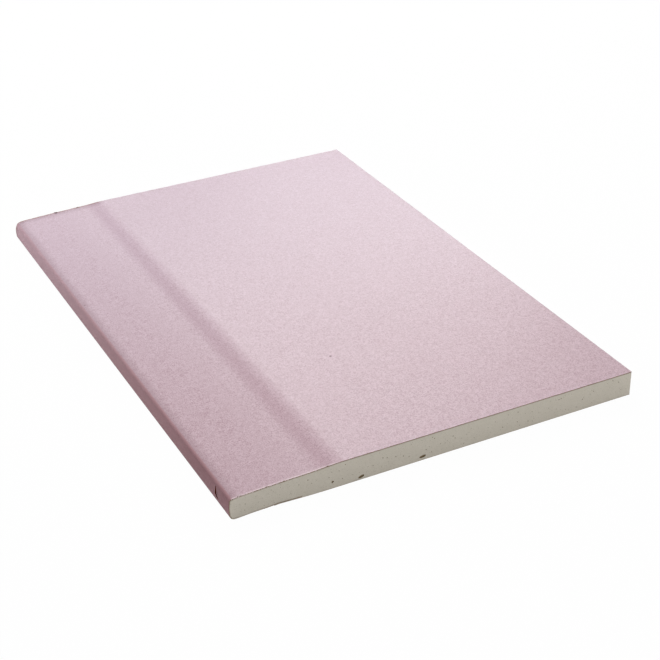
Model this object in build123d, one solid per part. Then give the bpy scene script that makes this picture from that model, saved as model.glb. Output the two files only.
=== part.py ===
from build123d import *
import math
import os

# A piece of drywall sheet, lying face up: a gypsum core between two papers.
# The face paper wraps round one long edge, the bound edge, and folds under it.
# Towards that edge the face is tapered, to leave room for a taped and filled joint.
# The other three sides are cut square and show the core between the papers.
# +X runs from the bound edge to the cut edge, +Y along the bound edge, +Z out of the face.
# The origin is at the middle of the back. All sizes are in millimetres.

# Sheet
SHEET_WIDTH = 205.0
SHEET_LENGTH = 298.0
SHEET_THICKNESS = 12.5
PAPER_THICKNESS = 0.3

# Taper: a shoulder steps down from the flat of the face, then a slope runs towards the bound
# edge, steepens at a break and rolls over beside the edge. Drops are below the flat of the face.
TAPER_WIDTH = 54.0
TAPER_DEPTH = 2.0
SHOULDER_WIDTH = 16.6
SHOULDER_DROP = 0.48
SHOULDER_CORNER_SHARES = (0.2, 0.7)
SLOPE_BREAK_REACH = 20.0
SLOPE_BREAK_DROP = 0.9
ROLL_WIDTH = 4.2
ROLL_DEPTH = 0.53

# Bound edge: a slightly bulging side with a rounded top and a rounded foot
EDGE_BULGE = 0.4
EDGE_TOP_RADIUS = 1.1
EDGE_FOOT_RADIUS = 1.6
EDGE_FOOT_CLEARANCE = 0.05  # above the plane that the back lies on

# Back: a shallow hollow beside the bound edge. Just before its crown the face paper jogs up,
# to pass over the edge of the back paper, which laps it.
HOLLOW_WIDTH = 40.0
HOLLOW_RISE = 0.72
HOLLOW_CROWN_REACH = 22.5
JOG_WIDTH = 3.5
JOG_RISE = 0.37
BACK_PAPER_SETBACK = 20.75
PAPER_LAP = 13.0

# Air voids that the cut opens in the near end of the core, each a spheroid with its long axis
# across the sheet. Their places are shares of the sheet's width and thickness.
VOID_PLACE_SHARES = ((0.304, 0.12), (0.453, 0.15), (0.236, 0.27))
VOID_HALF_LENGTHS = (1.55, 1.7, 0.6)
VOID_HALF_HEIGHTS = (0.7, 0.65, 0.5)
VOID_TILTS = (14.0, 7.0, 20.0)  # degrees, rising towards the cut edge

# Drawing aids
BLEND_SHARE = 0.45  # of the shorter run beside a corner, taken up by its rounding
OVERRUN = 5.0  # how far cutting shapes and unfinished sections run past the sheet


def section_point(reach, height):
    """Point of the section at a distance from the bound edge and a height above the back."""
    return Vector(reach - SHEET_WIDTH / 2, height)


def blend_radii(points):
    """Radius of each inner corner of a path, as large as the two runs beside it allow."""
    radii = []
    for before, corner, after in zip(points, points[1:], points[2:]):
        run_in = corner - before
        run_out = after - corner
        half_turn = math.radians(run_in.get_angle(run_out)) / 2
        radii.append(BLEND_SHARE * min(run_in.length, run_out.length) / math.tan(half_turn))
    return radii


def blended_path(points):
    """Straight runs through the points, joined by tangent arcs."""
    return FilletPolyline(*points, radius=blend_radii(points))


def window(low, high):
    """Rectangle of the section between two opposite corners."""
    middle = (low + high) / 2
    return Pos(middle.X, middle.Y) * Rectangle(high.X - low.X, high.Y - low.Y)


def bound_section():
    """Section of the core and its face paper, run on past the cut edge."""
    beyond = SHEET_WIDTH + OVERRUN
    edge_height = SHEET_THICKNESS - TAPER_DEPTH
    shoulder_start, shoulder_end = (
        TAPER_WIDTH - share * SHOULDER_WIDTH for share in SHOULDER_CORNER_SHARES
    )
    edge_top = section_point(EDGE_BULGE, edge_height)
    edge_foot = section_point(EDGE_BULGE, EDGE_FOOT_CLEARANCE)
    crown_height = PAPER_THICKNESS + HOLLOW_RISE
    face = blended_path(
        [
            section_point(beyond, SHEET_THICKNESS),
            section_point(shoulder_start, SHEET_THICKNESS),
            section_point(shoulder_end, SHEET_THICKNESS - SHOULDER_DROP),
            section_point(SLOPE_BREAK_REACH, SHEET_THICKNESS - SLOPE_BREAK_DROP),
            section_point(ROLL_WIDTH, edge_height + ROLL_DEPTH),
            edge_top,
        ]
    )
    edge = ThreePointArc(edge_top, section_point(0, (edge_top.Y + edge_foot.Y) / 2), edge_foot)
    back = blended_path(
        [
            edge_foot,
            section_point(HOLLOW_CROWN_REACH - JOG_WIDTH, crown_height - JOG_RISE),
            section_point(HOLLOW_CROWN_REACH, crown_height),
            section_point(HOLLOW_WIDTH, PAPER_THICKNESS),
            section_point(beyond, PAPER_THICKNESS),
        ]
    )
    outline = make_face(face + edge + back + Line(back @ 1, face @ 0))
    outline = fillet(outline.vertices().sort_by_distance(edge_top)[0], EDGE_TOP_RADIUS)
    return fillet(outline.vertices().sort_by_distance(edge_foot)[0], EDGE_FOOT_RADIUS)


def face_paper_section(bound):
    """Paper over the face, round the bound edge and under it as far as the end of its flap."""
    lining = bound - offset(bound, amount=-PAPER_THICKNESS)
    flap_end = BACK_PAPER_SETBACK + PAPER_LAP
    bare_back = window(
        section_point(flap_end, -OVERRUN),
        section_point(SHEET_WIDTH, SHEET_THICKNESS / 2),
    )
    return lining & (sheet_window() - bare_back)


def back_paper_section(bound):
    """Paper over the back, from its setback beside the bound edge to the cut edge."""
    covered = window(
        section_point(BACK_PAPER_SETBACK, -OVERRUN),
        section_point(SHEET_WIDTH, SHEET_THICKNESS / 2),
    )
    return (Pos(0, -PAPER_THICKNESS) * bound - bound) & covered


def sheet_window():
    """Rectangle that ends a section at the cut edge."""
    return window(
        section_point(-OVERRUN, -OVERRUN),
        section_point(SHEET_WIDTH, SHEET_THICKNESS + OVERRUN),
    )


def along_sheet(section):
    """Solid of a section, run the whole length of the sheet."""
    return extrude(Plane.XZ * section, amount=SHEET_LENGTH / 2, both=True)


def air_void(place_share, half_length, half_height, tilt):
    """Spheroid centred in the near end of the core."""
    width_share, height_share = place_share
    upper_half = Ellipse(half_length, half_height) & window(
        Vector(-half_length, 0), Vector(half_length, half_height)
    )
    place = section_point(width_share * SHEET_WIDTH, height_share * SHEET_THICKNESS)
    return Pos(place.X, -SHEET_LENGTH / 2, place.Y) * Rot(0, -tilt, 0) * revolve(upper_half, Axis.X)


def gypsum_core(bound, face_paper):
    """Core that fills the sheet between its papers, with air voids open in its near end."""
    core = along_sheet((bound & sheet_window()) - face_paper)
    for void in zip(VOID_PLACE_SHARES, VOID_HALF_LENGTHS, VOID_HALF_HEIGHTS, VOID_TILTS):
        core -= air_void(*void)
    return core


def main():
    bound = bound_section()
    face_paper = face_paper_section(bound)
    pieces = {
        "gypsum_core": gypsum_core(bound, face_paper),
        "face_paper": along_sheet(face_paper),
        "back_paper": along_sheet(back_paper_section(bound)),
    }
    os.makedirs("parts", exist_ok=True)
    for name, piece in pieces.items():
        export_step(piece, f"parts/{name}.step")


main()
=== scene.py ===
import logging
import math
import random
from contextlib import contextmanager
from dataclasses import dataclass, field, replace
from enum import Enum
from typing import Any, Callable, Iterator, Mapping, Sequence

import bmesh
import bpy
from mathutils import Euler, Matrix, Vector
from mathutils.kdtree import KDTree


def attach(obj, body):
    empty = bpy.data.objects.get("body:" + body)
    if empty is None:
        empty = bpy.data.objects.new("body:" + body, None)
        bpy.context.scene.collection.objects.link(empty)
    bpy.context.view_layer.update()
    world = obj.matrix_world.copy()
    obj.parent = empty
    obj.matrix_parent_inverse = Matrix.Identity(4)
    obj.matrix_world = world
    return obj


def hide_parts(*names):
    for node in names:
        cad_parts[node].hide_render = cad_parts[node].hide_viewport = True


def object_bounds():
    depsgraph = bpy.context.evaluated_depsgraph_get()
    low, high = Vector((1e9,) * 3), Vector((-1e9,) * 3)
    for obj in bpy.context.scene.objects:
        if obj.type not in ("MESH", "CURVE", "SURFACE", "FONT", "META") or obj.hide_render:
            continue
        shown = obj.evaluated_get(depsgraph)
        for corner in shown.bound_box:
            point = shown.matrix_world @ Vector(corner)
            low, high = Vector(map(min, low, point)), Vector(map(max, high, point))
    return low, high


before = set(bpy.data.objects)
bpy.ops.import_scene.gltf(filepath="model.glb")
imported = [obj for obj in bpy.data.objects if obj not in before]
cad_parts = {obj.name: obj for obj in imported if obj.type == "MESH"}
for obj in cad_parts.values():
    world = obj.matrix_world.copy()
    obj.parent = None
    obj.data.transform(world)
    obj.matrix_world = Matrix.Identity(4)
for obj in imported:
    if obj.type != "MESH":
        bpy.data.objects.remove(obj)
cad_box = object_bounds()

MM = 0.001
TOUCH = 0.01 * MM
BODY = "root"
LOG = logging.getLogger("drywall_sheet")

Tint = tuple[float, float, float, float]


class Slot(Enum):
    """Material slot names, one for each kind of piece."""

    GYPSUM = "gypsum"
    FACE = "face_liner"
    BACK = "back_liner"


class Cut(Enum):
    """Cut sides of the sheet, each with the way from it into the sheet."""

    NEAR = (0, 1, 0)
    FAR = (0, -1, 0)
    SIDE = (-1, 0, 0)


class Part(Enum):
    """Parts of a mesh that selections in edit mode are made of."""

    EDGES = "EDGE"
    FACES = "FACE"


def tint(red: float, green: float, blue: float) -> Tint:
    """Linear colour of a finish.

    Args:
        red: Red as it looks on a screen, from 0 to 255.
        green: Green on the same scale.
        blue: Blue on the same scale.

    Returns:
        The linear colour, with an alpha of 1.
    """
    seen = (value / 255 for value in (red, green, blue))
    linear = (s / 12.92 if s <= 0.04045 else ((s + 0.055) / 1.055) ** 2.4 for s in seen)
    return (*linear, 1.0)


@dataclass(frozen=True)
class PathPoint:
    """One point of the sheet's section, with the way from it into the sheet."""

    reach: float
    height: float
    inward: Vector

    def sunk(self, depth: float) -> "PathPoint":
        """The point moved into the sheet by a depth."""
        place = Vector((self.reach, self.height)) + depth * self.inward
        return PathPoint(place.x, place.y, self.inward)


@dataclass(frozen=True)
class Corner:
    """One corner of the section before it is rounded."""

    reach: float
    height: float
    blend_share: float = 0.0
    radius: float = 0.0


@dataclass(frozen=True)
class SheetSection:
    """Section across the sheet, by reach from the bound edge and height above the back."""

    width: float
    length: float
    thickness: float
    paper: float = 0.3 * MM
    taper_width: float = 54.0 * MM
    taper_depth: float = 2.2 * MM
    shoulder_width: float = 16.6 * MM
    shoulder_drop: float = 0.5 * MM
    shoulder_shares: tuple[float, float] = (0.2, 0.7)
    break_reach: float = 20.0 * MM
    break_drop: float = 1.05 * MM
    roll_width: float = 4.2 * MM
    roll_depth: float = 0.53 * MM
    edge_bulge: float = 0.4 * MM
    edge_top_radius: float = 1.2 * MM
    edge_foot_radius: float = 2.6 * MM
    foot_clearance: float = 0.05 * MM
    foot_end: tuple[float, float] = (5.6 * MM, 0.02 * MM)
    foot_neck: tuple[float, float] = (10.5 * MM, 0.42 * MM)
    hollow_width: float = 40.0 * MM
    hollow_rise: float = 0.72 * MM
    crown_reach: float = 22.5 * MM
    jog_width: float = 3.5 * MM
    jog_rise: float = 0.37 * MM
    back_setback: float = 20.75 * MM
    paper_lap: float = 13.0 * MM
    blend_share: float = 0.45
    bulge_share: float = 0.22
    spacing: float = 1.5 * MM
    turn_step: float = math.radians(9)

    @property
    def flap_end(self) -> float:
        """Reach at which the folded face paper ends under the back."""
        return self.back_setback + self.paper_lap

    @property
    def cut_x(self) -> float:
        """Place of the cut long edge."""
        return cad_box[1].x

    @property
    def near_y(self) -> float:
        """Place of the near cut end."""
        return cad_box[0].y

    @property
    def far_y(self) -> float:
        """Place of the far cut end."""
        return cad_box[1].y

    def x_at(self, reach: float) -> float:
        """Place across the sheet of a reach from the bound edge."""
        return cad_box[0].x + reach

    def corners(self) -> list[Corner]:
        """Corners of the outer surface: face, bound edge and back.

        Returns:
            The corners, from the cut edge of the face round to the cut edge of the back.
        """
        top = self.thickness
        edge_top = top - self.taper_depth
        bulge = -self.edge_bulge * self.bulge_share / (1 - self.bulge_share)
        start, end = (self.taper_width - share * self.shoulder_width for share in self.shoulder_shares)
        crown = self.paper + self.hollow_rise
        return [
            Corner(self.width, top),
            Corner(start, top, self.blend_share),
            Corner(end, top - self.shoulder_drop, self.blend_share),
            Corner(self.break_reach, top - self.break_drop, self.blend_share),
            Corner(self.roll_width, edge_top + self.roll_depth, self.blend_share),
            Corner(self.edge_bulge, edge_top, radius=self.edge_top_radius),
            Corner(bulge, (edge_top + self.foot_clearance) / 2, 2 * self.bulge_share),
            Corner(self.edge_bulge, self.foot_clearance, radius=self.edge_foot_radius),
            Corner(*self.foot_end, self.blend_share),
            Corner(*self.foot_neck, self.blend_share),
            Corner(self.crown_reach - self.jog_width, crown - self.jog_rise, self.blend_share),
            Corner(self.crown_reach, crown, self.blend_share),
            Corner(self.hollow_width, self.paper, self.blend_share),
            Corner(self.width, self.paper),
        ]

    def outline(self) -> list[PathPoint]:
        """Outer surface of core and face paper, with its corners rounded.

        Returns:
            Points from the cut edge of the face, round the bound edge, to the cut edge of the back.
        """
        corners = self.corners()
        places = [Vector((corner.reach, corner.height)) for corner in corners]
        path: list[PathPoint] = []
        cursor = places[0]
        for before, corner, place, after in zip(places, corners[1:], places[1:], places[2:]):
            run_in, run_out = place - before, after - place
            heading, leaving = run_in.normalized(), run_out.normalized()
            turn = math.atan2(heading.cross(leaving), heading.dot(leaving))
            tangent = corner.blend_share * min(run_in.length, run_out.length)
            tangent = tangent or corner.radius * math.tan(abs(turn) / 2)
            start = place - tangent * heading
            path += self.straight(cursor, start)
            path += self.arc(start, heading, turn, tangent / math.tan(abs(turn) / 2))
            cursor = place + tangent * leaving
        path += self.straight(cursor, places[-1])
        end = path[-1]
        return [*path, PathPoint(places[-1].x, places[-1].y, end.inward)]

    def straight(self, start: Vector, end: Vector) -> list[PathPoint]:
        """Points along a straight run, without its end.

        Args:
            start: First point of the run.
            end: Point that the run leads to.

        Returns:
            Evenly spaced points.
        """
        run = end - start
        count = max(1, round(run.length / self.spacing))
        heading = run.normalized()
        inward = Vector((-heading.y, heading.x))
        return [PathPoint(*(start + run * step / count), inward) for step in range(count)]

    def arc(self, start: Vector, heading: Vector, turn: float, radius: float) -> list[PathPoint]:
        """Points along a rounded corner, without its end.

        Args:
            start: Point where the rounding leaves the run before it.
            heading: Direction of that run.
            turn: Angle of the corner, positive towards the sheet.
            radius: Radius of the rounding.

        Returns:
            Points at even angles.
        """
        by_angle = abs(turn) / self.turn_step
        by_length = abs(turn) * radius / self.spacing
        count = max(2, math.ceil(max(by_angle, by_length)))
        inward = Vector((-heading.y, heading.x))
        arm = -math.copysign(radius, turn) * inward
        centre = start - arm
        points = []
        for step in range(count):
            swing = Matrix.Rotation(turn * step / count, 2)
            points.append(PathPoint(*(centre + swing @ arm), swing @ inward))
        return points

    def split(self, reach: float) -> tuple[list[PathPoint], list[PathPoint]]:
        """Part the outline where its back passes a reach from the bound edge.

        Args:
            reach: The reach.

        Returns:
            The outline up to that point and on from it, with the point in both.
        """
        path = self.outline()
        turn = min(range(len(path)), key=lambda i: path[i].reach)
        after = next(i for i in range(turn, len(path)) if path[i].reach > reach)
        low, high = path[after - 1], path[after]
        share = (reach - low.reach) / (high.reach - low.reach)
        point = PathPoint(reach, low.height + share * (high.height - low.height), low.inward)
        return [*path[:after], point], [point, *path[after:]]

    def face_height(self, reach: float) -> float:
        """Height of the face at a reach from the bound edge."""
        return next(point.height for point in self.outline() if point.reach <= reach)

    @staticmethod
    def steps(path: Sequence[PathPoint]) -> list[Vector]:
        """Steps from each point of a path to the next, as moves across the sheet."""
        return [Vector((b.reach - a.reach, 0, b.height - a.height)) for a, b in zip(path, path[1:])]


class Bench:
    """Blender's modelling tools, as the sub-assemblies use them."""

    @staticmethod
    def take(*pieces: bpy.types.Object) -> None:
        """Select only these pieces, the first of them active."""
        bpy.ops.object.select_all(action="DESELECT")
        for piece in pieces:
            piece.select_set(True)
        bpy.context.view_layer.objects.active = pieces[0]

    @staticmethod
    def added(name: str, *size: float) -> bpy.types.Object:
        """Name the primitive that was just added, size it and put its place into its mesh.

        Args:
            name: Name for the piece.
            size: Size along each of its own axes, when it was added with a size of 1.

        Returns:
            The piece, with its object at the origin.
        """
        piece = bpy.context.object
        piece.name = name
        piece.data.name = name
        piece.scale = size or piece.scale
        Bench.take(piece)
        bpy.ops.object.transform_apply(location=True, rotation=True, scale=True)
        return piece

    @staticmethod
    @contextmanager
    def editing(piece: bpy.types.Object, part: Part = Part.EDGES) -> Iterator[None]:
        """Work on a piece in edit mode.

        Args:
            piece: The piece.
            part: Which parts of the mesh selections are made of.

        Yields:
            Nothing: the operators act on the piece meanwhile.
        """
        Bench.take(piece)
        bpy.ops.object.mode_set(mode="EDIT")
        bpy.ops.mesh.select_mode(type=part.value)
        yield
        bpy.ops.object.mode_set(mode="OBJECT")

    @staticmethod
    def pick(piece: bpy.types.Object, test: Callable[[Vector], bool], at_least: float = 0.0) -> None:
        """Select only those edges of a mesh in edit mode whose two ends pass a test.

        Args:
            piece: The piece being edited.
            test: Says whether an end at a place passes.
            at_least: Length from which an edge is selected.
        """
        bpy.ops.mesh.select_all(action="DESELECT")
        mesh = bmesh.from_edit_mesh(piece.data)
        for edge in [e for e in mesh.edges if all(test(v.co) for v in e.verts)]:
            if edge.calc_length() >= at_least:
                edge.select_set(True)
        bmesh.update_edit_mesh(piece.data)

    @staticmethod
    def pull(steps: Sequence[Vector]) -> None:
        """Extrude what is selected once for each step."""
        for step in steps:
            bpy.ops.mesh.extrude_region_move(TRANSFORM_OT_translate={"value": step})

    @staticmethod
    def slice(places: Sequence[Vector], normal: Vector) -> None:
        """Cut the whole mesh along parallel planes.

        Args:
            places: A point of each plane.
            normal: The normal of them all.
        """
        for place in places:
            bpy.ops.mesh.select_all(action="SELECT")
            bpy.ops.mesh.bisect(plane_co=place, plane_no=normal, threshold=MM / 1000)

    @staticmethod
    def group(piece: bpy.types.Object, name: str, weight: Callable[[Vector], float]) -> str:
        """Make a vertex group, with a weight for each point.

        Args:
            piece: The piece.
            name: Name of the group.
            weight: Gives a point's weight, with 0 for a point that is left out.

        Returns:
            The group's name.
        """
        group = piece.vertex_groups.new(name=name)
        for vertex in piece.data.vertices:
            share = weight(vertex.co)
            if share:
                group.add([vertex.index], float(share), "REPLACE")
        return name

    @staticmethod
    def modify(piece: bpy.types.Object, kind: str, **settings: Any) -> None:
        """Add a modifier to a piece and apply it.

        Args:
            piece: The piece.
            kind: Type of the modifier.
            settings: Its settings, by their names.
        """
        Bench.take(piece)
        modifier = piece.modifiers.new(kind.lower(), kind)
        for name, value in settings.items():
            setattr(modifier, name, value)
        bpy.ops.object.modifier_apply(modifier=modifier.name)

    @staticmethod
    def push(piece: bpy.types.Object, points: str, axis: str, depth: float, **settings: Any) -> None:
        """Push some points of a piece along an axis.

        Args:
            piece: The piece.
            points: Vertex group of the points.
            axis: Name of the axis.
            depth: How far a point of full weight is pushed.
            settings: Further settings of the displacement, such as a texture.
        """
        settings |= {"vertex_group": points, "direction": axis, "strength": depth, "mid_level": 0.0}
        Bench.modify(piece, "DISPLACE", **settings)

    @staticmethod
    def thicken(piece: bpy.types.Object, thickness: float) -> None:
        """Give a paper its thickness inward, with its second finish inside and on its cut edges."""
        finishes = {"material_offset": 1, "material_offset_rim": 1}
        Bench.modify(piece, "SOLIDIFY", thickness=thickness, offset=-1, **finishes)

    @staticmethod
    def carve(piece: bpy.types.Object, blade: bpy.types.Object) -> None:
        """Cut a shape out of a piece, which takes on the finish of the shape there."""
        settings = {"operation": "DIFFERENCE", "solver": "EXACT", "material_mode": "TRANSFER"}
        Bench.modify(piece, "BOOLEAN", object=blade, **settings)

    @staticmethod
    def lay(
        name: str, section: SheetSection, path: Sequence[PathPoint], cells: tuple[int, int], height: float
    ) -> bpy.types.Object:
        """Lay paper flat from the cut edge of the sheet, then draw it on along a path.

        Args:
            name: Name for the paper.
            section: Section of the sheet.
            path: Points of the section that it is drawn along, from the end of the flat.
            cells: How many cells the flat has across the sheet and along it.
            height: Height of the flat.

        Returns:
            The paper, without its thickness.
        """
        lead = section.x_at(path[0].reach)
        run = section.width - path[0].reach
        bpy.ops.mesh.primitive_grid_add(
            x_subdivisions=cells[0],
            y_subdivisions=cells[1],
            size=1,
            location=(section.cut_x - run / 2, 0, height),
        )
        piece = Bench.added(name, run, section.length, 1)
        with Bench.editing(piece):
            Bench.pick(piece, lambda co: abs(co.x - lead) < TOUCH)
            Bench.pull(section.steps(path))
        return piece

    @staticmethod
    def ripple(name: str, width: float, depth: int = 2) -> bpy.types.Texture:
        """Soft noise for a displacement.

        Args:
            name: Name of the texture.
            width: Width of its swells.
            depth: How many finer layers it has.

        Returns:
            The texture.
        """
        texture = bpy.data.textures.new(name, "CLOUDS")
        texture.noise_scale = width
        texture.noise_depth = depth
        return texture

    @staticmethod
    def smooth(piece: bpy.types.Object, angle: float = math.radians(35)) -> None:
        """Shade a piece smooth, with its sharp edges kept."""
        Bench.take(piece)
        bpy.ops.object.shade_smooth_by_angle(angle=angle)

    @staticmethod
    def hand_in(piece: bpy.types.Object, slot: Slot, *nodes: str) -> None:
        """Tie a finished piece to the frame.

        Args:
            piece: The piece.
            slot: Material slot meant for its finish; not used.
            nodes: Solids of the frame that it stands for.
        """
        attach(piece, BODY)
        if nodes:
            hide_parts(*nodes)
        LOG.info("%s: %d faces", piece.name, len(piece.data.polygons))


class Sock:
    """A shader socket that takes part in Python expressions."""

    def __init__(self, graph: "Graph", socket: bpy.types.NodeSocket) -> None:
        """Keep the socket and the graph that it belongs to."""
        self.graph = graph
        self.socket = socket

    def maths(self, operation: str, *values: Any) -> "Sock":
        """A Math node on some values."""
        return self.graph.node("ShaderNodeMath", {"operation": operation}, dict(enumerate(values)))

    def __add__(self, other: Any) -> "Sock":
        """Sum."""
        return self.maths("ADD", self, other)

    __radd__ = __add__

    def __mul__(self, other: Any) -> "Sock":
        """Product."""
        return self.maths("MULTIPLY", self, other)

    __rmul__ = __mul__

    def __sub__(self, other: Any) -> "Sock":
        """Difference."""
        return self.maths("SUBTRACT", self, other)

    def __rsub__(self, other: Any) -> "Sock":
        """Difference from another value."""
        return self.maths("SUBTRACT", other, self)

    def __pow__(self, other: Any) -> "Sock":
        """Power."""
        return self.maths("POWER", self, other)

    def __abs__(self) -> "Sock":
        """Size without sign."""
        return self.maths("ABSOLUTE", self)

    def most(self, other: Any) -> "Sock":
        """The larger of two values."""
        return self.maths("MAXIMUM", self, other)

    def rise(self, low: float, high: float) -> "Sock":
        """Smooth step from 0 at one value to 1 at another.

        Args:
            low: Value up to which the step is 0.
            high: Value from which it is 1; lower than the first for a falling step.

        Returns:
            The step.
        """
        flipped = low > high
        settings = {"interpolation_type": "SMOOTHSTEP", "clamp": True}
        limits = {"Value": self, "From Min": min(low, high), "From Max": max(low, high)}
        step = self.graph.node("ShaderNodeMapRange", settings, limits)
        return 1 - step if flipped else step


class Graph:
    """Node tree of one material."""

    def __init__(self, tree: bpy.types.NodeTree) -> None:
        """Start on an empty tree."""
        self.tree = tree
        tree.nodes.clear()

    @classmethod
    def of_material(cls, name: str) -> tuple["Graph", bpy.types.Material]:
        """A new material and its graph."""
        material = bpy.data.materials.new(name)
        material.use_nodes = True
        return cls(material.node_tree), material

    def node(
        self,
        kind: str,
        settings: Mapping[str, Any] | None = None,
        sockets: Mapping[Any, Any] | None = None,
        output: Any = 0,
    ) -> Sock:
        """Add a node.

        Args:
            kind: Type of the node.
            settings: Its own settings, set first.
            sockets: Values of its sockets, or sockets to link to them, by name or number.
            output: Name or number of the output that is wanted.

        Returns:
            That output.
        """
        made = self.tree.nodes.new(kind)
        for name, value in (settings or {}).items():
            setattr(made, name, value)
        for name, value in (sockets or {}).items():
            if isinstance(value, Sock):
                self.tree.links.new(value.socket, made.inputs[name])
            else:
                made.inputs[name].default_value = value
        return Sock(self, made.outputs[output] if made.outputs else made.inputs[0])

    def mix(self, share: Any, first: Any, second: Any, blend: str = "MIX") -> Sock:
        """Mix two colours.

        Args:
            share: Share of the second colour.
            first: First colour.
            second: Second colour.
            blend: How they are blended.

        Returns:
            The mixed colour.
        """
        settings = {"data_type": "RGBA", "blend_type": blend}
        return self.node("ShaderNodeMix", settings, {0: share, 6: first, 7: second}, 2)

    def place(self) -> Sock:
        """Place on the piece, in millimetres."""
        sockets = {"Vector": self.node("ShaderNodeTexCoord", output="Object"), "Scale": (1 / MM,) * 3}
        return self.node("ShaderNodeMapping", {}, sockets)

    def axes(self, place: Sock) -> tuple[Sock, Sock, Sock]:
        """The three parts of a place."""
        parts = self.node("ShaderNodeSeparateXYZ", {}, {0: place})
        outputs = parts.socket.node.outputs
        return Sock(self, outputs[0]), Sock(self, outputs[1]), Sock(self, outputs[2])

    def noise(self, place: Sock, width: float, detail: float = 2.0, rough: float = 0.5) -> Sock:
        """Soft noise from 0 to 1.

        Args:
            place: Where it is read.
            width: Width of its swells, in the units of the place.
            detail: How many finer layers it has.
            rough: How strong those are.

        Returns:
            The noise.
        """
        sockets = {"Vector": place, "Scale": 1 / width, "Detail": detail, "Roughness": rough}
        return self.node("ShaderNodeTexNoise", {"noise_dimensions": "3D"}, sockets, "Fac")

    def cells(self, place: Sock, width: float) -> Sock:
        """Distance from the nearest of scattered points, as a share of their spacing."""
        sockets = {"Vector": place, "Scale": 1 / width, "Randomness": 1.0}
        return self.node("ShaderNodeTexVoronoi", {"feature": "F1"}, sockets, "Distance")

    def fibres(self, place: Sock, angle: float, length: float, width: float, fineness: float) -> Sock:
        """Thin strands that lie along one direction.

        Args:
            place: Where they are read.
            angle: Their direction about the vertical, in degrees.
            length: About how long they are, in the units of the place.
            width: How far apart they lie.
            fineness: How thin they are.

        Returns:
            1 along the middle of each strand, falling to 0.
        """
        turned = {"Rotation": (0, 0, math.radians(angle)), "Vector": place}
        lain = self.node("ShaderNodeMapping", {}, turned)
        stretched = {"Scale": (1 / length, 1 / width, 1 / width), "Vector": lain}
        drawn = self.node("ShaderNodeMapping", {}, stretched)
        return (1 - abs(2 * self.noise(drawn, 1.0, 1.0) - 1)) ** fineness

    def bump(self, height: Sock, depth: float, strength: float = 1.0) -> Sock:
        """Normal of a fine relief.

        Args:
            height: Height of the relief, from 0 to 1.
            depth: Depth of that height, in metres.
            strength: How much of it shows.

        Returns:
            The normal.
        """
        return self.node("ShaderNodeBump", {}, {"Height": height, "Distance": depth, "Strength": strength})

    def surface(self, **sockets: Any) -> None:
        """Finish the material with a surface.

        Args:
            sockets: Sockets of the surface by name, with underscores for spaces.
        """
        named = {name.replace("_", " "): value for name, value in sockets.items()}
        shader = self.node("ShaderNodeBsdfPrincipled", {}, named)
        self.node("ShaderNodeOutputMaterial", {}, {"Surface": shader})


@dataclass(frozen=True)
class Speck:
    """A small dark fleck, by reach from the bound edge and from the near end.

    It lies in the face unless it has a height of its own.
    """

    reach: float
    along: float
    radius: float
    strength: float
    height: float | None = None


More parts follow.
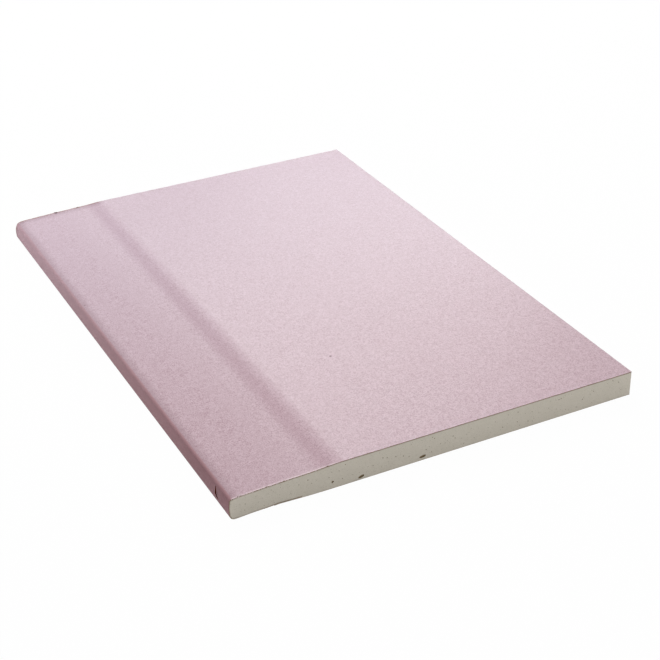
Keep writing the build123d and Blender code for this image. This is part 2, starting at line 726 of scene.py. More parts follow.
@dataclass(frozen=True)
class PinkLiner:
    """Pink liner paper: matted fibres with a soft sheen, pale at its near lip, with painted shade along its
    edges.
    """

    pale: Tint = tint(204, 179, 191)
    deep: Tint = tint(172, 140, 151)
    # Multiplied in as painted shade where the paper rolls down at its edges.
    painted_shade: Tint = (0.74, 0.68, 0.69, 1.0)
    # Deeper colour of the bound edge, partly real and partly painted shade that grows towards the near end.
    side_tone_and_shade: Tint = tint(159, 112, 119)
    # Painted light colour: cooler towards the far end, warmer towards the near end.
    painted_cool_light: Tint = (0.945, 0.995, 1.0, 1.0)
    painted_warm_light: Tint = (1.0, 0.968, 0.942, 1.0)
    lip: Tint = tint(236, 216, 219)
    ply: Tint = tint(140, 98, 88)
    fleck: Tint = tint(92, 52, 54)
    roughness_by_reach: tuple[tuple[float, float], ...] = (
        (8, 0.70),
        (20, 0.68),
        (30, 0.62),
        (40.5, 0.58),
        (43, 0.71),
        (46, 0.86),
        (49, 0.77),
        (52, 0.59),
        (56, 0.375),
    )
    pulp_width: float = 2.0
    clump_width: float = 0.53
    grain_width: float = 0.35
    fleck_spacing: float = 5.0
    specular: float = 0.62
    relief: float = 0.145 * MM
    specks: tuple[Speck, ...] = (
        Speck(88.4, 79.7, 0.8, 1.0),
        Speck(3.0, 187.1, 0.5, 0.8),
        Speck(194.0, 287.2, 0.5, 0.8),
        Speck(156.2, 150.6, 0.45, 0.6),
        Speck(201.8, 49.2, 0.6, 0.5),
        Speck(24.0, 297.4, 1.1, 0.9),
        Speck(36.9, 297.6, 0.7, 0.8),
        Speck(0.2, 12.6, 1.6, 0.3, 6.5),
        Speck(0.2, 11.4, 1.2, 0.3, 4.3),
    )

    def material(self, section: SheetSection) -> bpy.types.Material:
        """Make the material.

        Args:
            section: Section of the sheet, for the places of its edges.

        Returns:
            The material.
        """
        graph, material = Graph.of_material("pink_liner")
        place = graph.place()
        x, y, _ = graph.axes(place)
        pulp = graph.noise(place, self.pulp_width, 3.0, 0.6)
        clumps = graph.noise(place, self.clump_width, 2.0, 0.6)
        grain = graph.noise(place, self.grain_width, 2.0)
        strands = graph.fibres(place, 18, 3.2, 0.5, 6).most(graph.fibres(place, -41, 2.6, 0.45, 6))
        strands = strands.most(graph.fibres(place, 77, 2.8, 0.5, 7))
        near_ramp = y.rise(section.far_y / MM, section.near_y / MM)
        taper_end = section.x_at(section.taper_width) / MM
        tapered = x.rise(taper_end, taper_end - 6)
        matted = 0.25 * pulp + 0.75 * clumps - 0.5
        mottle = (2.7 + 1.9 * near_ramp) * (1 + 0.1 * tapered) * matted
        colour = graph.mix(0.58 + mottle, self.deep, self.pale)
        # Painted light colour: the far end cooler, the near end warmer.
        colour = graph.mix(1.0, colour, graph.mix(near_ramp, self.painted_cool_light, self.painted_warm_light), "MULTIPLY")
        colour = self.edge_tone_and_shade(graph, section, x, near_ramp, colour)
        colour = self.worn_and_shaded_ends(graph, section, x, y, tapered, clumps, colour)
        colour = self.flecks(graph, section, place, colour)
        felt = 0.3 * pulp + 0.7 * clumps + 0.1 * strands
        height = (0.75 + 0.25 * near_ramp) * (1 + 0.55 * tapered) * felt
        graph.surface(
            Base_Color=colour,
            Roughness=self.roughness(section, x) + 0.1 * (grain - 0.5),
            Specular_IOR_Level=self.specular,
            Normal=graph.bump(height, self.relief),
        )
        return material

    def roughness(self, section: SheetSection, x: Sock) -> Sock:
        """Roughness of the paper: smooth on the flat, dull where it is creased and drawn.

        Args:
            section: Section of the sheet.
            x: Place across the sheet.

        Returns:
            The roughness.
        """
        rough = None
        for (low, start), (high, end) in zip(self.roughness_by_reach, self.roughness_by_reach[1:]):
            step = x.rise(section.x_at(low * MM) / MM, section.x_at(high * MM) / MM)
            rough = (start if rough is None else rough) + (end - start) * step
        return rough

    def edge_tone_and_shade(self, graph: Graph, section: SheetSection, x: Sock, near_ramp: Sock, colour: Sock) -> Sock:
        """Paint shade where the face rolls down to the bound edge and on its arris, and deepen the colour on
        the edge, more towards the near end.

        Args:
            graph: Graph of the material.
            section: Section of the sheet.
            x: Place across the sheet.
            near_ramp: 0 at the far end, rising to 1 at the near one.
            colour: Colour so far.

        Returns:
            The new colour.
        """
        edge = section.x_at(0) / MM
        # Painted shade: darker over the last 7 mm, where the face rolls down to the bound edge.
        colour = graph.mix(x.rise(edge + 7.0, edge + 1.0), colour, self.painted_shade, "MULTIPLY")
        # The edge's deeper colour, mixed in more towards the near end as painted shade.
        colour = graph.mix((0.38 + 0.62 * near_ramp) * x.rise(edge + 2.3, edge + 1.4), colour, self.side_tone_and_shade)
        # Painted shade on the rounded arris, stronger towards the near end.
        arris_shade = x.rise(edge + 1.7, edge + 0.9) * x.rise(edge + 0.1, edge + 0.5)
        return graph.mix((0.1 + 0.6 * near_ramp) * arris_shade, colour, self.painted_shade, "MULTIPLY")

    def worn_and_shaded_ends(
        self, graph: Graph, section: SheetSection, x: Sock, y: Sock, tapered: Sock, clumps: Sock, colour: Sock
    ) -> Sock:
        """Fray the paper pale along its near end, paint shade along the far end of the taper and bare its
        inner ply there.

        Args:
            graph: Graph of the material.
            section: Section of the sheet.
            x: Place across the sheet.
            y: Place along the sheet.
            tapered: 1 on the taper, falling to 0 at its end.
            clumps: Clumps of fibre, which make the wear uneven.
            colour: Colour so far.

        Returns:
            The new colour.
        """
        uneven = 3.0 * (clumps - 0.5)
        from_near = y - section.near_y / MM + uneven
        from_far = section.far_y / MM - y + uneven
        edge = section.x_at(0) / MM
        frayed = x.rise(edge + 0.8, edge + 2.5) * (0.08 + 0.72 * tapered)
        colour = graph.mix(frayed * from_near.rise(1.1, 0.4), colour, self.lip)
        # Painted shade: darker towards the far cut along the taper, where the edge rolls down.
        colour = graph.mix(0.75 * tapered * from_far.rise(6.0, 1.5), colour, self.painted_shade, "MULTIPLY")
        return graph.mix(0.9 * tapered * from_far.rise(1.3, 0.6), colour, self.ply)

    def flecks(self, graph: Graph, section: SheetSection, place: Sock, colour: Sock) -> Sock:
        """Scatter fine dark flecks, with a few larger ones at their own places.

        Args:
            graph: Graph of the material.
            section: Section of the sheet.
            place: Place on the piece.
            colour: Colour so far.

        Returns:
            The new colour.
        """
        spots = 0.35 * graph.cells(place, self.fleck_spacing).rise(0.045, 0.02)
        for speck in self.specks:
            middle = (
                section.x_at(speck.reach * MM) / MM,
                section.near_y / MM + speck.along,
                speck.height or section.face_height(speck.reach * MM) / MM,
            )
            away = graph.node(
                "ShaderNodeVectorMath", {"operation": "DISTANCE"}, {0: place, 1: middle}, "Value"
            )
            spots = spots.most(speck.strength * away.rise(speck.radius, 0.4 * speck.radius))
        return graph.mix(spots, colour, self.fleck)


@dataclass(frozen=True)
class KraftPly:
    """Brown inner plies of the liner, bared where it is cut or torn."""

    name: str = "kraft_ply"
    light: Tint = tint(139, 112, 84)
    dark: Tint = tint(91, 70, 46)
    ply_width: float = 0.25
    roughness: float = 0.85
    relief: float = 0.03 * MM

    def material(self) -> bpy.types.Material:
        """Make the material."""
        graph, material = Graph.of_material(self.name)
        plies = graph.noise(graph.place(), self.ply_width, 3.0)
        colour = graph.mix(plies.rise(0.3, 0.7), self.dark, self.light)
        normal = graph.bump(plies, self.relief, 0.5)
        graph.surface(Base_Color=colour, Roughness=self.roughness, Normal=normal)
        return material


@dataclass(frozen=True)
class CutGypsum:
    """Cut face of the foamed gypsum: sandy, pale grey, with fine open pores whose shade is painted dark."""

    light: Tint = tint(206, 199, 187)
    dark: Tint = tint(194, 187, 173)
    # Painted shade of the pinholes.
    pore: Tint = tint(97, 88, 72)
    paper_band: Tint = tint(112, 88, 65)
    sand_width: float = 0.3
    drift_width: float = 4.0
    band_breakup: float = 1.5
    pinhole_spacing: float = 0.9
    roughness: float = 0.9
    relief: float = 0.06 * MM

    def material(self, mark: str) -> bpy.types.Material:
        """Make the material.

        Args:
            mark: Attribute that rises to 1 beside the paper, where the cut face is coloured a darker brown.

        Returns:
            The material.
        """
        graph, material = Graph.of_material("cut_gypsum")
        place = graph.place()
        sand = graph.noise(place, self.sand_width, 3.0, 0.6)
        drift = graph.noise(place, self.drift_width, 2.0)
        colour = graph.mix((0.85 * sand + 0.15 * drift).rise(0.3, 0.7), self.dark, self.light)
        pinholes = graph.cells(place, self.pinhole_spacing).rise(0.16, 0.07)
        # Painted shade: the pinholes are coloured dark for the shade inside them.
        colour = graph.mix(0.6 * pinholes, colour, self.pore)
        beside = graph.node("ShaderNodeAttribute", {"attribute_name": mark}, output="Fac")
        uneven = 0.5 * (graph.noise(place, self.band_breakup, 2.0) - 0.5)
        banded = (beside + uneven).rise(0.45, 0.75)
        # A darker brown band on the cut face beside the paper.
        colour = graph.mix(0.35 * banded, colour, self.paper_band)
        normal = graph.bump(sand - 0.8 * pinholes, self.relief, 0.6)
        graph.surface(Base_Color=colour, Roughness=self.roughness, Normal=normal)
        return material


@dataclass(frozen=True)
class PoreWall:
    """Wall of an air void in the gypsum, painted darker than the cut face as the shade inside the void."""

    # Painted shade: darker than the cut face for the shade inside the void.
    light: Tint = tint(134, 117, 88)
    dark: Tint = tint(94, 79, 55)
    crystal_width: float = 0.2
    roughness: float = 0.9
    relief: float = 0.04 * MM

    def material(self) -> bpy.types.Material:
        """Make the material."""
        graph, material = Graph.of_material("pore_wall")
        crystals = graph.noise(graph.place(), self.crystal_width, 2.0)
        colour = graph.mix(crystals, self.dark, self.light)
        normal = graph.bump(crystals, self.relief, 0.5)
        graph.surface(Base_Color=colour, Roughness=self.roughness, Normal=normal)
        return material


@dataclass(frozen=True)
class KraftBack:
    """Grey-brown recycled liner of the back, with fibres along the sheet and stray flecks."""

    light: Tint = tint(186, 170, 150)
    dark: Tint = tint(158, 140, 118)
    fleck: Tint = tint(92, 76, 60)
    fleck_spacing: float = 3.5
    clump_width: float = 1.6
    cloud_width: float = 30.0
    roughness: float = 0.8
    relief: float = 0.05 * MM

    def material(self) -> bpy.types.Material:
        """Make the material."""
        graph, material = Graph.of_material("kraft_back")
        place = graph.place()
        clumps = graph.noise(place, self.clump_width, 4.0, 0.6)
        clouds = graph.noise(place, self.cloud_width, 2.0)
        strands = graph.fibres(place, 88, 6.0, 0.6, 5).most(graph.fibres(place, 64, 4.0, 0.5, 6))
        matted = 0.5 * clumps + 0.3 * clouds + 0.3 * strands
        colour = graph.mix(matted.rise(0.25, 0.75), self.dark, self.light)
        flecks = graph.cells(place, self.fleck_spacing).rise(0.07, 0.03)
        colour = graph.mix(0.6 * flecks, colour, self.fleck)
        height = 0.6 * clumps + 0.4 * strands
        normal = graph.bump(height, self.relief, 0.5)
        graph.surface(Base_Color=colour, Roughness=self.roughness, Normal=normal)
        return material


@dataclass
class FaceLiner:
    """Pink paper over the face, round the bound edge and under it as a flap."""

    section: SheetSection
    finish: PinkLiner = field(default_factory=PinkLiner)
    ply: KraftPly = field(default_factory=KraftPly)
    paled: KraftPly = KraftPly("dusted_ply", tint(196, 188, 175), tint(168, 158, 142))
    paled_reaches: tuple[float, float] = (1.2 * MM, 16.0 * MM)
    rows: int = 160
    cockle_width: float = 16.0 * MM
    cockle_depth: float = 0.025 * MM
    fray_width: float = 3.0 * MM
    fray_depth: float = 0.25 * MM

    def build(self) -> bpy.types.Object:
        """Draw the paper over the section and give it its thickness.

        Returns:
            The piece.
        """
        path, _ = self.section.split(self.section.flap_end)
        flat = [point for point in path if abs(point.height - self.section.thickness) < TOUCH / 10]
        rest = path[len(flat) - 1 :]
        cells = (len(flat) - 1, self.rows)
        piece = Bench.lay("face_liner", self.section, rest, cells, self.section.thickness)
        self.roughen(piece)
        piece.data.materials.append(self.finish.material(self.section))
        piece.data.materials.append(self.ply.material())
        Bench.thicken(piece, self.section.paper)
        self.pale_foot(piece)
        return piece

    def pale_foot(self, piece: bpy.types.Object) -> None:
        """Pale the cut edge of the paper under the foot.

        Args:
            piece: The paper, with its thickness.
        """
        piece.data.materials.append(self.paled.material())
        low, high = (self.section.x_at(reach) for reach in self.paled_reaches)
        for face in piece.data.polygons:
            under = face.center.z < self.section.thickness / 4
            if face.material_index == 1 and under and low < face.center.x < high:
                face.material_index = 2

    def roughen(self, piece: bpy.types.Object) -> None:
        """Cockle the paper a little and make its cut ends uneven.

        Args:
            piece: The paper, before it has its thickness.
        """
        cockle = Bench.ripple("cockle", self.cockle_width)
        Bench.modify(piece, "DISPLACE", texture=cockle, strength=self.cockle_depth, mid_level=1.0)
        fray = Bench.ripple("fray", self.fray_width)
        for name, place, way in (("near", self.section.near_y, 1), ("far", self.section.far_y, -1)):
            ends = Bench.group(piece, name, lambda co: abs(co.y - place) < TOUCH)
            Bench.push(piece, ends, "Y", way * self.fray_depth, texture=fray)

    def dress(self, piece: bpy.types.Object) -> None:
        """Shade the paper smooth and tie it to the frame."""
        Bench.smooth(piece)
        Bench.hand_in(piece, Slot.FACE, "face_paper")


@dataclass
class PaperSlit:
    """Knife slip in the bound edge near its near end: a narrow cut with a knee."""

    section: SheetSection
    top: tuple[float, float] = (13.74 * MM, 9.3 * MM)
    knee: tuple[float, float] = (13.79 * MM, 5.1 * MM)
    foot: tuple[float, float] = (12.2 * MM, 3.7 * MM)
    width: float = 1.35 * MM
    tip: float = 0.45 * MM
    knee_share: float = 1.45
    foot_share: float = 1.0
    depth: float = 1.1 * MM
    stand_off: float = 0.4 * MM
    torn: KraftPly = KraftPly("torn_ply", tint(148, 68, 28), tint(92, 34, 12))

    def cutter(self) -> bpy.types.Object:
        """Draw a blade that fills the slit.

        Returns:
            The blade.
        """
        reach = self.depth + self.stand_off
        start = self.centre(self.top)
        start.x = self.section.x_at(reach / 2 - self.stand_off)
        bpy.ops.mesh.primitive_plane_add(size=1, location=start)
        blade = Bench.added("slit_blade", reach, self.tip, 1)
        middle = tuple((a + b) / 2 for a, b in zip(self.top, self.knee))
        spreads = (1.0, self.width / self.tip, self.knee_share, self.foot_share)
        stops = list(zip((self.top, middle, self.knee, self.foot), spreads))
        with Bench.editing(blade, Part.FACES):
            bpy.ops.mesh.select_all(action="SELECT")
            for (start, _), (end, spread) in zip(stops, stops[1:]):
                Bench.pull([Vector((0, end[0] - start[0], end[1] - start[1]))])
                bpy.ops.transform.resize(value=(1, spread, 1), center_override=self.centre(end))
            bpy.ops.mesh.select_all(action="SELECT")
            bpy.ops.mesh.normals_make_consistent(inside=False)
        blade.data.materials.append(self.torn.material())
        return blade

    def centre(self, stop: tuple[float, float]) -> Vector:
        """Place of a stop of the slit on the sheet."""
        return Vector((self.section.x_at(0), self.section.near_y + stop[0], stop[1]))

    def cut(self, *pieces: bpy.types.Object) -> None:
        """Cut the slit into the pieces that it goes through."""
        blade = self.cutter()
        for piece in pieces:
            Bench.carve(piece, blade)
        bpy.data.objects.remove(blade, do_unlink=True)


@dataclass
class WornCorner:
    """Far corner of the bound edge, knocked round."""

    section: SheetSection
    reach: float = 4.4 * MM
    knock: tuple[float, float, float] = (0.75 * MM, -0.5 * MM, -0.35 * MM)

    def nearness(self, place: Vector) -> float:
        """Share of the knock at a place: 1 at the corner, falling to 0."""
        top = self.section.thickness - self.section.taper_depth
        corner = Vector((self.section.x_at(0), self.section.far_y, top))
        return max(0.0, 1 - (place - corner).length / self.reach) ** 2

    def wear(self, *pieces: bpy.types.Object) -> None:
        """Push in the corner of the pieces that meet there."""
        for piece in pieces:
            points = Bench.group(piece, "worn_corner", self.nearness)
            for direction, depth in zip("XYZ", self.knock):
                Bench.push(piece, points, direction, depth)


@dataclass(frozen=True)
class AirVoid:
    """A large air void opened by the near cut."""

    reach: float
    height: float
    half_length: float
    half_height: float
    tilt: float


@dataclass
class GypsumCore:
    """Gypsum core, with rough cut faces that air voids and pores open into."""

    section: SheetSection
    finish: CutGypsum = field(default_factory=CutGypsum)
    wall: PoreWall = field(default_factory=PoreWall)
    cell: float = 0.8 * MM
    rough_width: float = 1.6 * MM
    rough_depth: float = 0.14 * MM
    voids: tuple[AirVoid, ...] = (
        AirVoid(62.3 * MM, 1.5 * MM, 1.55 * MM, 0.7 * MM, 14),
        AirVoid(92.9 * MM, 1.87 * MM, 1.7 * MM, 0.65 * MM, 7),
        AirVoid(48.4 * MM, 3.37 * MM, 0.6 * MM, 0.5 * MM, 20),
    )
    pores: int = 170
    pore_radii: tuple[float, float] = (0.12 * MM, 0.32 * MM)
    pore_skew: float = 1.6
    pore_inset: float = 1.6 * MM
    pore_edge_inset: float = 2.5 * MM
    pore_cut_inset: float = 1.5 * MM
    pore_cover: float = 1.2 * MM
    band_mark: str = "beside_paper"
    band_width: float = 0.8 * MM
    margin: float = 0.5 * MM
    sharp: float = math.radians(50)
    seed: int = 7

    def build(self) -> bpy.types.Object:
        """Draw the core round its section, close its ends and roughen its cut faces.

        Returns:
            The piece.
        """
        lined, bare = self.section.split(self.section.flap_end)
        path = [point.sunk(self.section.paper) for point in lined] + bare
        top, bottom = path[0].height, path[-1].height
        bpy.ops.mesh.primitive_plane_add(
            size=1,
            location=(self.section.cut_x, 0, (top + bottom) / 2),
            rotation=(0, math.pi / 2, 0),
        )
        piece = Bench.added("gypsum_core_cut", top - bottom, self.section.length, 1)
        with Bench.editing(piece):
            Bench.pick(piece, lambda co: abs(co.z - top) < TOUCH)
            Bench.pull(self.section.steps(path))
            bpy.ops.mesh.select_all(action="SELECT")
            bpy.ops.mesh.remove_doubles(threshold=TOUCH)
            for end in (self.section.near_y, self.section.far_y):
                Bench.pick(piece, lambda co: abs(co.y - end) < TOUCH)
                bpy.ops.mesh.edge_face_add()
            bpy.ops.mesh.select_all(action="SELECT")
            bpy.ops.mesh.normals_make_consistent(inside=False)
            self.slice(piece, top, bottom)
        self.roughen(piece)
        return piece

    def slice(self, piece: bpy.types.Object, top: float, bottom: float) -> None:
        """Cut the mesh finely enough for rough cut faces.

        Args:
            piece: The core in edit mode.
            top: Height of the core's face.
            bottom: Height of its back.
        """
        columns = round(self.section.width / self.cell)
        places = [Vector((self.section.cut_x - i * self.cell, 0, 0)) for i in range(1, columns)]
        Bench.slice(places, Vector((1, 0, 0)))
        layers = round((top - bottom) / self.cell)
        heights = [Vector((0, 0, bottom + (top - bottom) * i / layers)) for i in range(1, layers)]
        Bench.slice(heights, Vector((0, 0, 1)))
        Bench.pick(piece, lambda co: abs(co.x - self.section.cut_x) < TOUCH, 10 * self.cell)
        bpy.ops.mesh.subdivide(number_cuts=round(self.section.length / self.cell) - 1)

    def roughen(self, piece: bpy.types.Object) -> None:
        """Pit the three cut faces, always into the sheet.

        Args:
            piece: The core.
        """
        rough = Bench.ripple("saw_rough", self.rough_width, 3)
        for cut, test, direction in (
            (Cut.NEAR, lambda co: abs(co.y - self.section.near_y) < TOUCH, "Y"),
            (Cut.FAR, lambda co: abs(co.y - self.section.far_y) < TOUCH, "Y"),
            (Cut.SIDE, lambda co: abs(co.x - self.section.cut_x) < TOUCH, "X"),
        ):
            points = Bench.group(piece, cut.name.lower(), test)
            Bench.push(piece, points, direction, sum(cut.value) * self.rough_depth, texture=rough)

    def void_place(self, void: AirVoid) -> Vector:
        """Middle of an air void, in the near cut."""
        return Vector((self.section.x_at(void.reach), self.section.near_y, void.height))

    def pore_places(self) -> list[tuple[Vector, float]]:
        """Scatter pores over the three cut faces, clear of each other and of the voids.

        Returns:
            Middle and radius of each pore.
        """
        draw = random.Random(self.seed)
        taken = [(self.void_place(void), void.half_length) for void in self.voids]
        placed: list[tuple[Vector, float]] = []
        low, high = self.pore_radii
        for cut in Cut:
            made = 0
            while made < self.pores:
                radius = low * (high / low) ** (draw.random() ** self.pore_skew)
                height = draw.uniform(self.pore_inset, self.section.thickness - self.pore_inset)
                if cut is Cut.SIDE:
                    along = draw.uniform(self.section.near_y + MM, self.section.far_y - MM)
                    place = Vector((self.section.cut_x, along, height))
                else:
                    reach = draw.uniform(self.pore_edge_inset, self.section.width - self.pore_cut_inset)
                    end = self.section.near_y if cut is Cut.NEAR else self.section.far_y
                    place = Vector((self.section.x_at(reach), end, height))
                    if height > self.section.face_height(reach) - self.pore_cover:
                        continue
                if any((place - other).length < radius + size + self.margin for other, size in taken):
                    continue
                taken.append((place, radius))
                placed.append((place, radius))
                made += 1
        return placed

    def pierce(self, piece: bpy.types.Object) -> None:
        """Open the voids and pores into the cut faces.

        Args:
            piece: The core.
        """
        bpy.ops.mesh.primitive_ico_sphere_add(subdivisions=1, radius=MM, location=(0, 0, -1))
        bubbles = Bench.added("bubbles")
        with Bench.editing(bubbles, Part.FACES):
            bpy.ops.mesh.delete(type="VERT")
            for void in self.voids:
                bpy.ops.mesh.primitive_ico_sphere_add(
                    subdivisions=3,
                    radius=1,
                    location=self.void_place(void),
                    rotation=(0, -math.radians(void.tilt), 0),
                    scale=(void.half_length, void.half_height, void.half_height),
                )
            for place, radius in self.pore_places():
                bpy.ops.mesh.primitive_ico_sphere_add(subdivisions=1, radius=radius, location=place)
        bubbles.data.materials.append(self.wall.material())
        piece.data.materials.append(self.finish.material(self.band_mark))
        Bench.carve(piece, bubbles)
        bpy.data.objects.remove(bubbles, do_unlink=True)

    def mark_band(self, piece: bpy.types.Object) -> None:
        """Mark the points of the core that lie close to the face paper.

        Args:
            piece: The core.
        """
        fine = replace(self.section, spacing=self.cell / 8)
        lined, _ = fine.split(fine.flap_end)
        tree = KDTree(len(lined))
        for index, point in enumerate(lined):
            inner = point.sunk(fine.paper)
            tree.insert((fine.x_at(inner.reach), 0, inner.height), index)
        tree.balance()
        mark = piece.data.attributes.new(self.band_mark, "FLOAT", "POINT")
        for vertex in piece.data.vertices:
            distance = tree.find((vertex.co.x, 0, vertex.co.z))[2]
            mark.data[vertex.index].value = max(0.0, 1 - distance / self.band_width)

    def dress(self, piece: bpy.types.Object) -> None:
        """Mark the core's points beside the paper and tie it to the frame."""
        self.mark_band(piece)
        Bench.smooth(piece, self.sharp)
        Bench.hand_in(piece, Slot.GYPSUM, "gypsum_core")


@dataclass(frozen=True)
class Shred:
    """A shred of paper left standing at a cut end."""

    reach: float
    width: float
    height: float
    lean: float = 0.0


@dataclass
class TornPaper:
    """Shreds of paper along one cut end: some at their own places, some scattered."""

    section: SheetSection
    name: str
    end: Cut
    finish: KraftPly
    shreds: tuple[Shred, ...] = ()
    scattered: int = 0
    span: tuple[float, float] = (1.0 * MM, 58.0 * MM)
    sizes: tuple[float, float] = (0.12 * MM, 0.4 * MM)
    bends: int = 4
    narrowing: float = 0.8
    sway: float = 0.08
    ply_share: float = 0.12
    crowding: float = 1.4
    lean_limit: float = 60.0
    seed: int = 11

    def build(self) -> bpy.types.Object:
        """Model one shred and stand copies of it along the cut end.

        Returns:
            All the shreds, as one piece.
        """
        model = self.model()
        copies = [self.stand(model, shred) for shred in (*self.shreds, *self.scatter())]
        bpy.data.objects.remove(model, do_unlink=True)
        Bench.take(*copies)
        bpy.ops.object.join()
        return Bench.added(self.name)

    def model(self) -> bpy.types.Object:
        """Model a shred of unit size: a strip that stands up, narrows and curls over.

        Returns:
            The shred.
        """
        bpy.ops.mesh.primitive_plane_add(size=1, rotation=(math.pi / 2, 0, 0))
        piece = Bench.added("shred", 1, 1 / self.bends, 1)
        with Bench.editing(piece):
            Bench.pick(piece, lambda co: co.z > 0)
            for bend in range(1, self.bends):
                angle = math.pi / 2 * bend / self.bends
                Bench.pull([Vector((self.sway, math.sin(angle), math.cos(angle))) / self.bends])
                bpy.ops.transform.resize(value=(self.narrowing, 1, 1))
        Bench.modify(piece, "SOLIDIFY", thickness=self.ply_share, offset=0)
        return piece

    def scatter(self) -> list[Shred]:
        """Draw the scattered shreds.

        Returns:
            Shreds of all sizes, thicker on the ground near the bound edge.
        """
        draw = random.Random(self.seed)
        low, high = self.sizes
        first, last = self.span
        return [
            Shred(
                first + (last - first) * draw.random() ** self.crowding,
                low + (high - low) * draw.random() ** 2,
                low + (high - low) * 0.6 * draw.random(),
                draw.uniform(-self.lean_limit, self.lean_limit),
            )
            for _ in range(self.scattered)
        ]

    def stand(self, model: bpy.types.Object, shred: Shred) -> bpy.types.Object:
        """Stand a copy of the model at its place, within the height of the sheet.

        Args:
            model: The shred of unit size.
            shred: Size and place of the copy.

        Returns:
            The copy.
        """
        Bench.take(model)
        bpy.ops.object.duplicate()
        copy = bpy.context.object
        inward = self.end.value[1]
        end = self.section.near_y if self.end is Cut.NEAR else self.section.far_y
        face = self.section.face_height(shred.reach)
        height = min(shred.height, max(1.2 * (self.section.thickness - face), 0.25 * self.section.paper))
        size = Vector((shred.width, inward * height, height))
        setback = 0.5 * abs(math.sin(math.radians(shred.lean))) * shred.width + 0.1 * height
        base = min(face - 0.25 * height, self.section.thickness - 0.9 * height)
        foot = Vector((self.section.x_at(shred.reach), end + inward * setback, base))
        turn = Euler((0, 0, inward * math.radians(shred.lean))).to_matrix().to_4x4()
        copy.matrix_world = Matrix.Translation(foot) @ turn @ Matrix.Diagonal((*size, 1))
        return copy

    def dress(self, piece: bpy.types.Object) -> None:
        """Give the shreds their finish and tie them to the frame."""
        piece.data.materials.append(self.finish.material())
        Bench.hand_in(piece, Slot.FACE)


@dataclass
class BackLiner:
    """Grey-brown paper of the back, laid over the flap of the face paper."""

    section: SheetSection
    finish: KraftBack = field(default_factory=KraftBack)
    ply: KraftPly = KraftPly("back_ply", tint(200, 192, 178), tint(173, 163, 148))
    rows: int = 120
    cockle_width: float = 18.0 * MM
    cockle_depth: float = 0.03 * MM

    def build(self) -> bpy.types.Object:
        """Draw the paper under the section and give it its thickness.

        Returns:
            The piece.
        """
        _, path = self.section.split(self.section.back_setback)
        flat = [point for point in path if abs(point.height - self.section.paper) < TOUCH / 10]
        rest = path[len(path) - len(flat) :: -1]
        piece = Bench.lay("back_liner", self.section, rest, (len(flat) - 1, self.rows), 0)
        with Bench.editing(piece):
            bpy.ops.mesh.select_all(action="SELECT")
            bpy.ops.mesh.flip_normals()
        cockle = Bench.ripple("back_cockle", self.cockle_width)
        Bench.modify(piece, "DISPLACE", texture=cockle, strength=self.cockle_depth, mid_level=1.0)
        piece.data.materials.append(self.finish.material())
        piece.data.materials.append(self.ply.material())
        Bench.thicken(piece, self.section.paper)
        return piece

    def dress(self, piece: bpy.types.Object) -> None:
        """Shade the paper smooth and tie it to the frame."""
        Bench.smooth(piece)
        Bench.hand_in(piece, Slot.BACK, "back_paper")


@dataclass(frozen=True)
class Softbox:
    """A soft lamp that faces the sheet, with 1 for the brightness of a white floor in full light."""

    name: str
    place: tuple[float, float, float]
    size: tuple[float, float]
    brightness: float


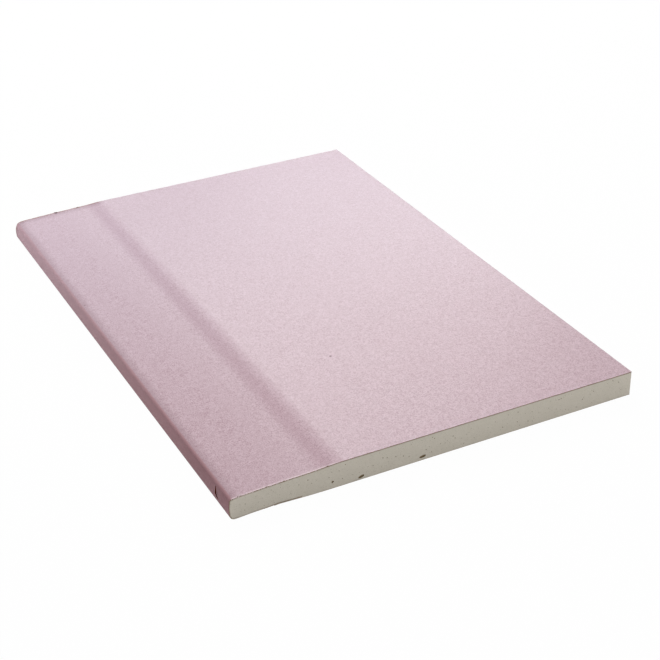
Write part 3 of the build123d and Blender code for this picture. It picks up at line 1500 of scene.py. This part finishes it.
@dataclass
class Studio:
    """Plain pale floor, soft light and the camera."""

    softboxes: tuple[Softbox, ...] = (
        Softbox("high_softbox", (-0.055, 1.2, 1.3), (1.0, 1.0), 8.95),
        Softbox("low_strip", (0.418, 0.613, 0.385), (0.393, 0.065), 16.4),
        Softbox("right_strip", (0.572, 0.685, 0.48), (0.15, 0.065), 9.4),
        Softbox("front_softbox", (0.5, -1.6, 0.4), (0.8, 0.5), 8.5),
        Softbox("side_card", (-0.34, 0.27, 0.06), (0.14, 0.08), 12.5),
    )
    eye: Vector = field(default_factory=lambda: Vector((-290.69, -619.63, 383.08)) * MM)
    aim: Vector = field(default_factory=lambda: Vector((-2.88, -47.12, 12.5)) * MM)
    lens: float = 82.43
    sensor: float = 36.0
    roll: float = math.radians(-1.011)
    floor_size: float = 8.0
    fill: float = 0.22
    floor_tone: float = 0.7
    backdrop_share: float = 0.985

    def build(self) -> None:
        """Set up the floor, the lights and the camera."""
        self.floor()
        self.world()
        for box in self.softboxes:
            self.hang(box)
        self.camera()
        bpy.context.scene.view_settings.view_transform = "Standard"

    def floor(self) -> None:
        """Lay a white floor that keeps a faint shadow."""
        bpy.ops.mesh.primitive_plane_add(size=self.floor_size, location=(0, 0, 0))
        floor = Bench.added("floor")
        graph, material = Graph.of_material("white_floor")
        seen = graph.node("ShaderNodeLightPath", output="Is Camera Ray")
        for kind in ("Is Glossy Ray", "Is Transmission Ray"):
            seen = seen.most(graph.node("ShaderNodeLightPath", output=kind))
        paint = graph.node("ShaderNodeBsdfDiffuse", {}, {"Color": (*(self.floor_tone,) * 3, 1)})
        glow = graph.node("ShaderNodeEmission", {}, {"Strength": 1.0})
        mixed = graph.node("ShaderNodeMixShader", {}, {0: self.backdrop_share * seen, 1: paint, 2: glow})
        graph.node("ShaderNodeOutputMaterial", {}, {"Surface": mixed})
        floor.data.materials.append(material)

    def world(self) -> None:
        """Fill from all round, behind a white backdrop."""
        world = bpy.data.worlds.new("studio")
        world.use_nodes = True
        bpy.context.scene.world = world
        graph = Graph(world.node_tree)
        seen = graph.node("ShaderNodeLightPath", output="Is Camera Ray")
        strength = seen * (1 - self.fill) + self.fill
        shade = graph.node("ShaderNodeBackground", {}, {"Color": (1, 1, 1, 1), "Strength": strength})
        graph.node("ShaderNodeOutputWorld", {}, {"Surface": shade})

    def hang(self, box: Softbox) -> None:
        """Hang a softbox.

        Args:
            box: The softbox.
        """
        bpy.ops.object.light_add(type="AREA", location=box.place)
        lamp = bpy.context.object
        lamp.name = box.name
        lamp.data.shape = "RECTANGLE"
        lamp.data.size, lamp.data.size_y = box.size
        lamp.data.energy = math.pi * box.size[0] * box.size[1] * box.brightness
        lamp.rotation_euler = (-Vector(box.place)).to_track_quat("-Z", "Y").to_euler()
        lamp.visible_camera = False

    def camera(self) -> None:
        """Stand the camera where the sheet was looked at from."""
        forward = (self.aim - self.eye).normalized()
        level = forward.cross(Vector((0, 0, 1))).normalized()
        upward = level.cross(forward)
        right = math.cos(self.roll) * level + math.sin(self.roll) * upward
        up = right.cross(forward)
        bpy.ops.object.camera_add()
        camera = bpy.context.object
        camera.data.lens = self.lens
        camera.data.sensor_width = self.sensor
        turn = Matrix((right, up, -forward)).transposed().to_4x4()
        camera.matrix_world = Matrix.Translation(self.eye) @ turn
        bpy.context.scene.camera = camera


def main() -> None:
    """Build the sheet piece by piece, then the studio round it."""
    logging.basicConfig(level=logging.INFO, format="%(name)s %(message)s")
    size = cad_box[1] - cad_box[0]
    section = SheetSection(size.x, size.y, size.z)

    liner = FaceLiner(section)
    face = liner.build()
    gypsum = GypsumCore(section)
    core = gypsum.build()
    gypsum.pierce(core)
    PaperSlit(section).cut(face, core)
    WornCorner(section).wear(face, core)
    liner.dress(face)
    gypsum.dress(core)

    backing = BackLiner(section)
    backing.dress(backing.build())

    for torn in (
        TornPaper(
            section,
            "near_pale_shreds",
            Cut.NEAR,
            KraftPly("pale_fibre", tint(240, 224, 226), tint(222, 198, 202)),
            (
                Shred(5.4 * MM, 1.7 * MM, 0.95 * MM, 8),
                Shred(8.0 * MM, 0.7 * MM, 0.5 * MM, -15),
                Shred(11.3 * MM, 1.1 * MM, 0.6 * MM, 5),
                Shred(16.0 * MM, 0.8 * MM, 0.5 * MM, -20),
                Shred(22.6 * MM, 1.2 * MM, 0.6 * MM, 10),
                Shred(27.1 * MM, 1.4 * MM, 0.6 * MM, -5),
                Shred(34.2 * MM, 1.0 * MM, 0.5 * MM, 15),
                Shred(40.5 * MM, 0.9 * MM, 0.4 * MM, -10),
            ),
            60,
            sizes=(0.2 * MM, 0.6 * MM),
        ),
        TornPaper(
            section,
            "near_brown_shreds",
            Cut.NEAR,
            KraftPly("brown_fibre"),
            (
                Shred(4.6 * MM, 1.5 * MM, 0.5 * MM, -10),
                Shred(17.7 * MM, 1.5 * MM, 0.4 * MM, 10),
                Shred(25.6 * MM, 0.9 * MM, 0.4 * MM, -5),
                Shred(46.2 * MM, 1.4 * MM, 0.45 * MM, 5),
            ),
            24,
            seed=23,
        ),
        TornPaper(
            section,
            "far_burrs",
            Cut.FAR,
            KraftPly("burr_ply", tint(150, 44, 40), tint(108, 28, 28)),
            (Shred(24.0 * MM, 2.3 * MM, 1.2 * MM, 10), Shred(36.9 * MM, 1.6 * MM, 0.8 * MM, -20)),
        ),
    ):
        torn.dress(torn.build())

    Studio().build()


if __name__ == "__main__":
    main()
